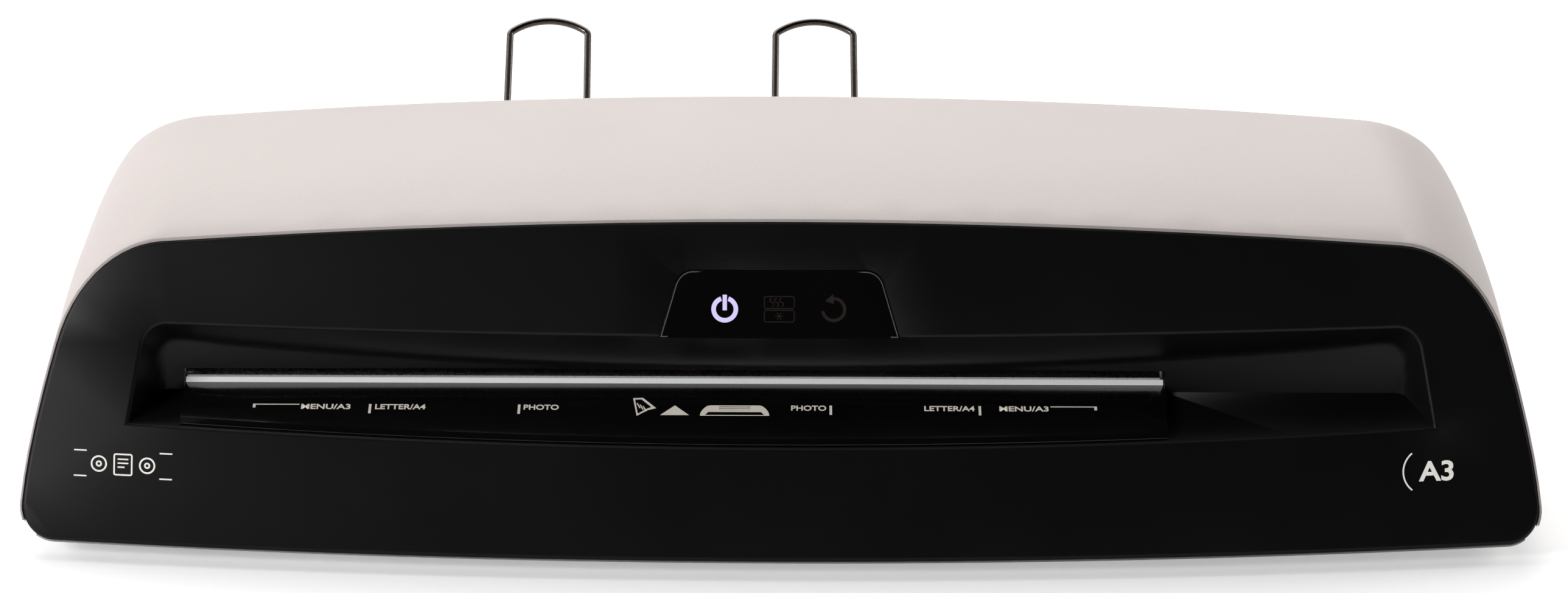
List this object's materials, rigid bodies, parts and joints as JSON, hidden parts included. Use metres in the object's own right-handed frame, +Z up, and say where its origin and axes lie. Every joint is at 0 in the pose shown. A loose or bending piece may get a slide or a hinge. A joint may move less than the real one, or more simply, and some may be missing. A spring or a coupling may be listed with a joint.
{
  "type": "pouch laminator",
  "caption": "Desktop A3 pouch laminator: silver cover, leaning black fascia with a recessed entry tray, touch window, heated roller drive and two fold-up wire exit supports.",
  "frame": {"origin": "on the table under the middle of the box round the machine and its lowered wire supports", "axes": "+X to the operator's right along the rollers, +Y from the entry slot to the exit, +Z up"},
  "size_m": [0.5364, 0.2586, 0.1288],
  "materials": {
    "silver_paint": "light silver metallic paint, fine flake",
    "fascia_black": "fine satin texture, near black",
    "gloss_black": "polished black acrylic",
    "lip_white": "bright white moulded lip",
    "pan_grey": "light grey textured ABS",
    "bezel_black": "black textured plastic",
    "foot_rubber": "matt black rubber",
    "roller_silicone": "red-brown silicone rubber",
    "shaft_steel": "ground steel",
    "plate_steel": "zinc-plated sheet steel",
    "screw_steel": "zinc-plated steel",
    "spring_steel": "spring steel",
    "shoe_aluminium": "extruded aluminium",
    "mica": "mica sheet",
    "gear_white": "natural acetal",
    "bush_tan": "high-temperature bush plastic",
    "wire_nickel": "black nickel plated wire",
    "board_green": "green solder mask",
    "part_black": "moulded black component",
    "part_blue": "blue sleeve",
    "terminal_green": "green terminal block",
    "transformer_yellow": "yellow tape over laminations",
    "light_guide": "frosted light guide",
    "thermostat_ceramic": "ceramic and steel cap"
  },
  "bodies": {
    "housing": {"top_cover": "silver_paint", "base_pan": "pan_grey", "rubber_feet": "foot_rubber", "case_screws": "screw_steel", "front_fascia": "fascia_black", "entry_tray": "gloss_black", "slot_lip": "lip_white", "control_window": "gloss_black", "touch_board": "board_green", "light_guides": "light_guide", "left_frame_plate": "plate_steel", "right_frame_plate": "plate_steel", "tie_bars": "shaft_steel", "frame_screws": "screw_steel", "lower_entry_guide": "plate_steel", "upper_entry_guide": "plate_steel", "exit_guides": "plate_steel", "lower_heating_shoe": "shoe_aluminium", "upper_heating_shoe": "shoe_aluminium", "mica_heaters": "mica", "thermostat": "thermostat_ceramic", "lower_bushes": "bush_tan", "input_springs": "spring_steel", "output_springs": "spring_steel", "idler_post": "shaft_steel", "motor_bracket": "plate_steel", "gear_motor": "plate_steel", "sensor_bracket": "bezel_black", "sensor_fork": "part_black", "main_board": "board_green", "board_posts": "gear_white", "transformer": "transformer_yellow", "relay": "part_black", "capacitors": "part_blue", "terminal_block": "terminal_green", "heat_sink": "shoe_aluminium", "exit_bezel": "bezel_black", "cord_gland": "foot_rubber", "switch_housing": "bezel_black"},
    "lower_input_roller_set": {"lower_input_roller": "roller_silicone", "lower_input_shaft": "shaft_steel", "lower_input_gear": "gear_white"},
    "upper_input_roller_set": {"upper_input_roller": "roller_silicone", "upper_input_shaft": "shaft_steel", "upper_input_gear": "gear_white"},
    "lower_output_roller_set": {"lower_output_roller": "roller_silicone", "lower_output_shaft": "shaft_steel", "lower_output_gear": "gear_white"},
    "upper_output_roller_set": {"upper_output_roller": "roller_silicone", "upper_output_shaft": "shaft_steel", "upper_output_gear": "gear_white"},
    "input_carrier": {"input_carrier_bushes": "bush_tan"},
    "output_carrier": {"output_carrier_bushes": "bush_tan"},
    "idler": {"idler_gear": "gear_white"},
    "motor_output": {"motor_shaft": "shaft_steel", "motor_pinion": "shaft_steel"},
    "entry_flag": {"sensor_flag": "part_black"},
    "mains_rocker": {"switch_rocker": "bezel_black"},
    "left_wire": {"left_wire_support": "wire_nickel"},
    "right_wire": {"right_wire_support": "wire_nickel"}
  },
  "joints": [
    {"name": "lower_input_spin", "type": "hinge", "parent": "housing", "child": "lower_input_roller_set", "pos_m": [0, -0.04355, 0.05121], "axis": [1, 0, 0], "continuous": true},
    {"name": "input_carrier_lift", "type": "slide", "parent": "housing", "child": "input_carrier", "axis": [0, -0.2079, 0.9781], "range_m": [0, 0.001], "stiffness_N_per_m": 2500, "springref_m": -0.004, "deforming": ["input_springs"]},
    {"name": "upper_input_spin", "type": "hinge", "parent": "input_carrier", "child": "upper_input_roller_set", "pos_m": [0, -0.04777, 0.07107], "axis": [1, 0, 0], "continuous": true},
    {"name": "lower_output_spin", "type": "hinge", "parent": "housing", "child": "lower_output_roller_set", "pos_m": [0, 0.0171, 0.0641], "axis": [1, 0, 0], "continuous": true},
    {"name": "output_carrier_lift", "type": "slide", "parent": "housing", "child": "output_carrier", "axis": [0, -0.2079, 0.9781], "range_m": [0, 0.001], "stiffness_N_per_m": 2500, "springref_m": -0.004, "deforming": ["output_springs"]},
    {"name": "upper_output_spin", "type": "hinge", "parent": "output_carrier", "child": "upper_output_roller_set", "pos_m": [0, 0.01288, 0.08396], "axis": [1, 0, 0], "continuous": true},
    {"name": "idler_spin", "type": "hinge", "parent": "housing", "child": "idler", "pos_m": [0, -0.01322, 0.05765], "axis": [1, 0, 0], "continuous": true},
    {"name": "motor_spin", "type": "hinge", "parent": "housing", "child": "motor_output", "pos_m": [0, -0.01322, 0.02965], "axis": [1, 0, 0], "continuous": true},
    {"name": "entry_flag_tilt", "type": "hinge", "parent": "housing", "child": "entry_flag", "pos_m": [-0.0327, -0.0637, 0.04503], "axis": [-1, 0, 0], "range_deg": [0, 28], "stiffness_Nm_per_rad": 0.002, "springref_deg": -28.65},
    {"name": "mains_rocker_tilt", "type": "hinge", "parent": "housing", "child": "mains_rocker", "pos_m": [0.214, 0.053, 0.034], "axis": [-1, 0, 0], "range_deg": [0, 18]},
    {"name": "left_wire_fold", "type": "hinge", "parent": "housing", "child": "left_wire", "pos_m": [-0.0897, 0.0606, 0.0705], "axis": [1, 0, 0], "range_deg": [0, 56]},
    {"name": "right_wire_fold", "type": "hinge", "parent": "housing", "child": "right_wire", "pos_m": [0.0123, 0.0606, 0.0705], "axis": [1, 0, 0], "range_deg": [0, 56]}
  ],
  "couplings": [
    {"joint": "upper_input_spin", "follows": "lower_input_spin", "ratio": -1},
    {"joint": "lower_output_spin", "follows": "lower_input_spin", "ratio": 1},
    {"joint": "upper_output_spin", "follows": "lower_input_spin", "ratio": -1},
    {"joint": "idler_spin", "follows": "lower_input_spin", "ratio": -0.47619},
    {"joint": "motor_spin", "follows": "lower_input_spin", "ratio": 1.4286}
  ]
}
